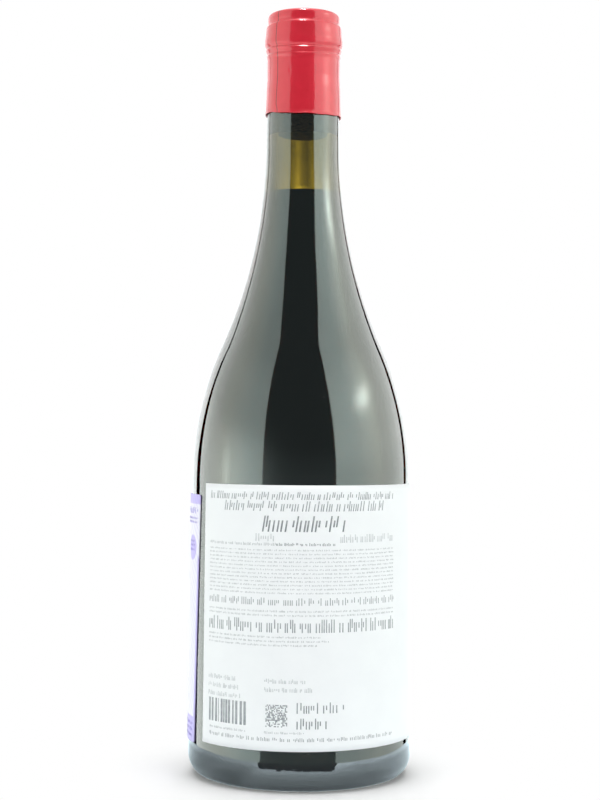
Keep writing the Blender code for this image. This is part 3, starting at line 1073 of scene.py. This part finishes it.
def curve(tree, value, stops):
    """A level against a value, straight between (value, level) stops. A ramp holds 0 to 1 only."""
    first, last = stops[0][0], stops[-1][0]
    peak = max(level for _, level in stops)
    along = add(tree, "MapRange", {"Value": value, "From Min": first, "From Max": last})
    ramp = add(tree, "ValToRGB", {"Fac": along.outputs["Result"]})
    elements = ramp.color_ramp.elements
    elements[0].color = (*(stops[0][1] / peak,) * 3, 1.0)
    elements[1].color = (*(stops[-1][1] / peak,) * 3, 1.0)
    for at, level in stops[1:-1]:
        elements.new((at - first) / (last - first)).color = (*(level / peak,) * 3, 1.0)
    return calc(tree, "MULTIPLY", ramp.outputs["Color"], peak)


def lamp(tree, azimuth, height, spot):
    """Lamp behind the cloth: gain * exp(-((azimuth - a) / w)^2 - ((height - h) / t)^2)."""
    a, h, w, t, gain = spot
    across = calc(tree, "POWER", calc(tree, "DIVIDE", calc(tree, "SUBTRACT", azimuth, a), w), 2.0)
    up = calc(tree, "POWER", calc(tree, "DIVIDE", calc(tree, "SUBTRACT", height, h), t), 2.0)
    fall = calc(tree, "EXPONENT", calc(tree, "MULTIPLY", calc(tree, "ADD", across, up), -1.0))
    return calc(tree, "MULTIPLY", fall, gain)


def gap(tree, from_front, height, form):
    """0 in a dark gap and 1 beside it; its middle and half width change evenly with the height.

    form is the middle and its lean, then the half width and its taper, in degrees and degrees for
    each mm. The half width never goes under GAP_LEAST.
    """
    centre, lean, half, taper = form
    line = calc(tree, "ADD", calc(tree, "MULTIPLY", height, lean), centre)
    narrowed = calc(tree, "SUBTRACT", half, calc(tree, "MULTIPLY", height, taper))
    reach = calc(tree, "MAXIMUM", narrowed, GAP_LEAST)
    off = calc(tree, "ABSOLUTE", calc(tree, "SUBTRACT", from_front, line))
    return ramp_between(tree, calc(tree, "SUBTRACT", off, reach), -GAP_BLUR, GAP_BLUR)


def either(tree, factor, first, second):
    """The first value at factor 0 and the second at factor 1."""
    return add(tree, "Mix", {"Factor": factor, "A": first, "B": second}).outputs["Result"]


peaks = [max(level for _, level in stops) for stops in (LEFT_ROUND, RIGHT_ROUND)]
print("left and right box peak at", peaks)

# %% The tent
RING = 96
TENT_FOOT, TENT_TOP = -1.0, 2.6
BACK_FROM = 140.0
FRONT_TINT = (0.82, 1.0, 0.94, 1.0)
SIDE_TINT = (0.92, 1.0, 0.89, 1.0)
BACK_TINT = (1.0, 1.0, 1.0, 1.0)
ROOM_TINT = (0.78, 1.0, 1.0, 1.0)
turn = evenly(RING)
tent_points = np.concatenate([np.stack([TENT_RADIUS * np.sin(turn), -TENT_RADIUS * np.cos(turn),
                                        np.full(RING, h)], axis=1) for h in (TENT_FOOT, TENT_TOP)])
wrap = [(k, RING + k, RING + (k + 1) % RING, (k + 1) % RING) for k in range(RING)]
tent_mesh = bpy.data.meshes.new("light_tent")
tent_mesh.from_pydata(tent_points.tolist(), [], wrap)
tent = bpy.data.objects.new("light_tent", tent_mesh)
bpy.context.collection.objects.link(tent)
for kind in ("camera", "diffuse", "shadow", "volume_scatter"):
    setattr(tent, "visible_" + kind, False)

tent_cloth, tree, output = new_material("tent_cloth")
at = add(tree, "SeparateXYZ", {"Vector": add(tree, "TexCoord").outputs["Object"]})
azimuth = calc(tree, "DEGREES", calc(tree, "ARCTAN2", at.outputs["X"],
                                     calc(tree, "MULTIPLY", at.outputs["Y"], -1.0)))
height = calc(tree, "DIVIDE", at.outputs["Z"], MM)
from_front = calc(tree, "ABSOLUTE", azimuth)
on_right = calc(tree, "GREATER_THAN", azimuth, 0.0)
shift = calc(tree, "MULTIPLY", calc(tree, "SUBTRACT", height, LEAN_FROM), RIGHT_LEAN)
leaned = calc(tree, "ADD", from_front, shift)
left_box = calc(tree, "MULTIPLY", curve(tree, from_front, LEFT_ROUND), curve(tree, height, LEFT_UP))
right_box = calc(tree, "MULTIPLY", curve(tree, leaned, RIGHT_ROUND), curve(tree, height, RIGHT_UP))
level = either(tree, on_right, left_box, right_box)
for spot in LAMPS:
    level = calc(tree, "ADD", level, lamp(tree, azimuth, height, spot))
gaps = either(tree, on_right, gap(tree, from_front, height, LEFT_GAP),
              gap(tree, from_front, height, RIGHT_GAP))
level = calc(tree, "MULTIPLY", level, gaps)
from_back = calc(tree, "MULTIPLY", calc(tree, "SUBTRACT", 180.0, from_front), calc(tree, "SIGN", azimuth))
through = calc(tree, "MULTIPLY", curve(tree, from_back, THROUGH_ROUND), curve(tree, height, THROUGH_UP))
refracted = add(tree, "LightPath").outputs["Is Transmission Ray"]
at_back = calc(tree, "GREATER_THAN", from_front, BACK_FROM)
level = either(tree, calc(tree, "MULTIPLY", refracted, at_back), level, through)
room_level = calc(tree, "MULTIPLY", curve(tree, height, ROOM_UP), gaps)
cloth_tint = add(tree, "ValToRGB", {"Fac": calc(tree, "DIVIDE", from_front, 180.0)})
cloth_tint.color_ramp.elements[0].color = FRONT_TINT
cloth_tint.color_ramp.elements[0].position = 0.3
cloth_tint.color_ramp.elements[1].color = BACK_TINT
cloth_tint.color_ramp.elements[1].position = 0.85
cloth_tint.color_ramp.elements.new(0.5).color = SIDE_TINT
boxes = add(tree, "Emission", {"Color": cloth_tint.outputs["Color"], "Strength": level})
room = add(tree, "Emission", {"Color": ROOM_TINT, "Strength": room_level})
glow = add(tree, "AddShader", {0: boxes.outputs["Emission"], 1: room.outputs["Emission"]})
tree.links.new(glow.outputs["Shader"], output.inputs["Surface"])
tent_mesh.materials.append(tent_cloth)
print("tent", 2 * TENT_RADIUS, "m wide, lamps at", [spot[:2] for spot in LAMPS])

# %% [markdown]
# Foil shows one light that glass doesn't: a soft lamp high in front. Only a surface that faces up by
# more than 20 degrees can mirror it to the camera, and only the foil's beads do. There it draws short
# white glints.

# %% High lamp
LAMP_HALF_WIDTH = 0.22
LAMP_HEIGHT = 1.95
LAMP_FROM, LAMP_TO = -1.12, -0.35
LAMP_STRENGTH = 110.0
lamp_mesh = bpy.data.meshes.new("high_lamp")
lamp_corners = np.array([(-LAMP_HALF_WIDTH, LAMP_FROM, LAMP_HEIGHT),
                         (-LAMP_HALF_WIDTH, LAMP_TO, LAMP_HEIGHT),
                         (LAMP_HALF_WIDTH, LAMP_TO, LAMP_HEIGHT),
                         (LAMP_HALF_WIDTH, LAMP_FROM, LAMP_HEIGHT)])
lamp_mesh.from_pydata(lamp_corners.tolist(), [], [(0, 1, 2, 3)])
high_lamp = bpy.data.objects.new("high_lamp", lamp_mesh)
bpy.context.collection.objects.link(high_lamp)
for kind in ("camera", "diffuse", "shadow", "transmission", "volume_scatter"):
    setattr(high_lamp, "visible_" + kind, False)
bulb, tree, output = new_material("lamp_glass")
white_hot = add(tree, "Emission", {"Color": (1, 1, 1, 1), "Strength": LAMP_STRENGTH})
tree.links.new(white_hot.outputs["Emission"], output.inputs["Surface"])
lamp_mesh.materials.append(bulb)
print("lamp", 2 * LAMP_HALF_WIDTH, "m wide, from", LAMP_FROM, "to", LAMP_TO)

# %% [markdown]
# The world fills in the rest. The camera sees plain white behind the bottle, matt surfaces get a
# little light from everywhere, and reflections that miss the tent see a bright ceiling.

# %% World
BACKDROP = 1.0
FILL = 0.25
CEILING = 4.6
world = bpy.data.worlds.new("soft_studio")
bpy.context.scene.world = world
world.use_nodes = True
tree = world.node_tree
tree.nodes.clear()
rays = add(tree, "LightPath")
white = {"Color": (1, 1, 1, 1)}
backdrop = add(tree, "Background", {**white, "Strength": BACKDROP})
fill = add(tree, "Background", {**white, "Strength": FILL})
ceiling = add(tree, "Background", {**white, "Strength": CEILING})
for_matt = add(tree, "MixShader", {0: rays.outputs["Is Diffuse Ray"], 1: ceiling.outputs["Background"],
                                   2: fill.outputs["Background"]})
for_camera = add(tree, "MixShader", {0: rays.outputs["Is Camera Ray"], 1: for_matt.outputs["Shader"],
                                     2: backdrop.outputs["Background"]})
tree.links.new(for_camera.outputs["Shader"], add(tree, "OutputWorld").inputs["Surface"])
print("world", world.name)

# %% [markdown]
# The bottle stands on a small white turntable. Its reflection is what lights the heel from below: a
# blue-grey band under the dark front, darkest where the glass meets the table and shades it. The
# table is needed only there, so it is a glowing ring that only reflections see, with that light and
# shade painted into its glow. In front, its bright part is painted shorter, and its rim shows no more
# than the dim room.

# %% Turntable, for reflections only
TABLE_RADIUS = 96 * MM
TABLE_HOLE = 38.0
TABLE_TOP = 0.2 * MM
TABLE_OUT = [(38, 0.5), (40, 0.8), (43, 2.2), (48, 3.0), (56, 4.0), (68, 5.2), (78, 5.6), (82, 5.9),
             (90, 8.8), (96, 9.2)]
TABLE_ROUND = [(-180, 0.25), (-90, 0.3), (-75, 0.38), (-62, 0.5), (-45, 0.53), (-36, 0.6), (-30, 0.9),
               (-22, 1.0), (20, 1.0), (26, 0.9), (40, 0.84), (46, 0.72), (68, 0.68), (85, 0.5),
               (110, 0.36), (180, 0.3)]
TABLE_ENDS = [(-180, 98), (-34, 98), (-29, 82), (26, 82), (31, 98), (180, 98)]
TABLE_DARK = 0.62
TABLE_BLUR = 2.0
TABLE_TINT = (0.84, 1.0, 1.07, 1.0)
rings = np.array([TABLE_HOLE, TABLE_RADIUS / MM]) * MM
points = np.stack([rings[:, None] * np.sin(turn), rings[:, None] * np.cos(turn),
                   np.full((2, RING), TABLE_TOP)], axis=2).reshape(-1, 3)
table_mesh = bpy.data.meshes.new("turntable")
table_mesh.from_pydata(points.tolist(), [], wrap)
table = bpy.data.objects.new("turntable", table_mesh)
bpy.context.collection.objects.link(table)
for kind in ("camera", "diffuse", "shadow", "transmission", "volume_scatter"):
    setattr(table, "visible_" + kind, False)
lit_table, tree, output = new_material("lit_turntable")
place = add(tree, "TexCoord").outputs["Object"]
at = add(tree, "SeparateXYZ", {"Vector": place})
azimuth = calc(tree, "DEGREES", calc(tree, "ARCTAN2", at.outputs["X"],
                                     calc(tree, "MULTIPLY", at.outputs["Y"], -1.0)))
out = add(tree, "VectorMath", {0: place}, operation="LENGTH").outputs["Value"]
out_mm = calc(tree, "DIVIDE", out, MM)
# The glow is painted light and shade: dim near the glass as a painted contact shadow, brighter outwards,
# and cut short in front to a dim painted level.
past_end = calc(tree, "SUBTRACT", out_mm, curve(tree, azimuth, TABLE_ENDS))
inside = ramp_between(tree, past_end, 0.0, -TABLE_BLUR)
lit = calc(tree, "MULTIPLY", curve(tree, out_mm, TABLE_OUT), curve(tree, azimuth, TABLE_ROUND))
level = calc(tree, "MAXIMUM", calc(tree, "MULTIPLY", lit, inside), TABLE_DARK)
painted_table_glow = add(tree, "Emission", {"Color": TABLE_TINT, "Strength": level})
tree.links.new(painted_table_glow.outputs["Emission"], output.inputs["Surface"])
table_mesh.materials.append(lit_table)
print("turntable", round(2 * TABLE_RADIUS / MM), "mm across")

# %% [markdown]
# Four soft area lights then light what isn't a mirror: the papers, the foil's paint and the floor.

# %% Area lights for the paper and the floor
AIM_HEIGHT = 0.12


def soft_light(name, place, size, watts):
    """A square area light aimed at the middle of the bottle, hidden from the camera and from glass."""
    data = bpy.data.lights.new(name, "AREA")
    data.size = size
    data.energy = watts
    light = bpy.data.objects.new(name, data)
    light.location = place
    aim = np.array([0, 0, AIM_HEIGHT]) - np.array(place)
    flat = math.hypot(aim[0], aim[1])
    light.rotation_euler = (math.atan2(flat, -aim[2]), 0.0, math.atan2(aim[1], aim[0]) - math.pi / 2)
    for kind in ("camera", "glossy", "transmission"):
        setattr(light, "visible_" + kind, False)
    bpy.context.collection.objects.link(light)
    return light


soft_light("light_right", (0.95, -0.85, 0.45), 0.9, 5.0)
soft_light("light_left", (-0.95, -0.85, 0.45), 0.9, 4.6)
soft_light("light_back", (0.0, 1.2, 0.7), 1.0, 9.0)
soft_light("light_top", (0.0, 0.0, 1.5), 1.2, 14.0)
bpy.context.scene.view_settings.view_transform = "Standard"
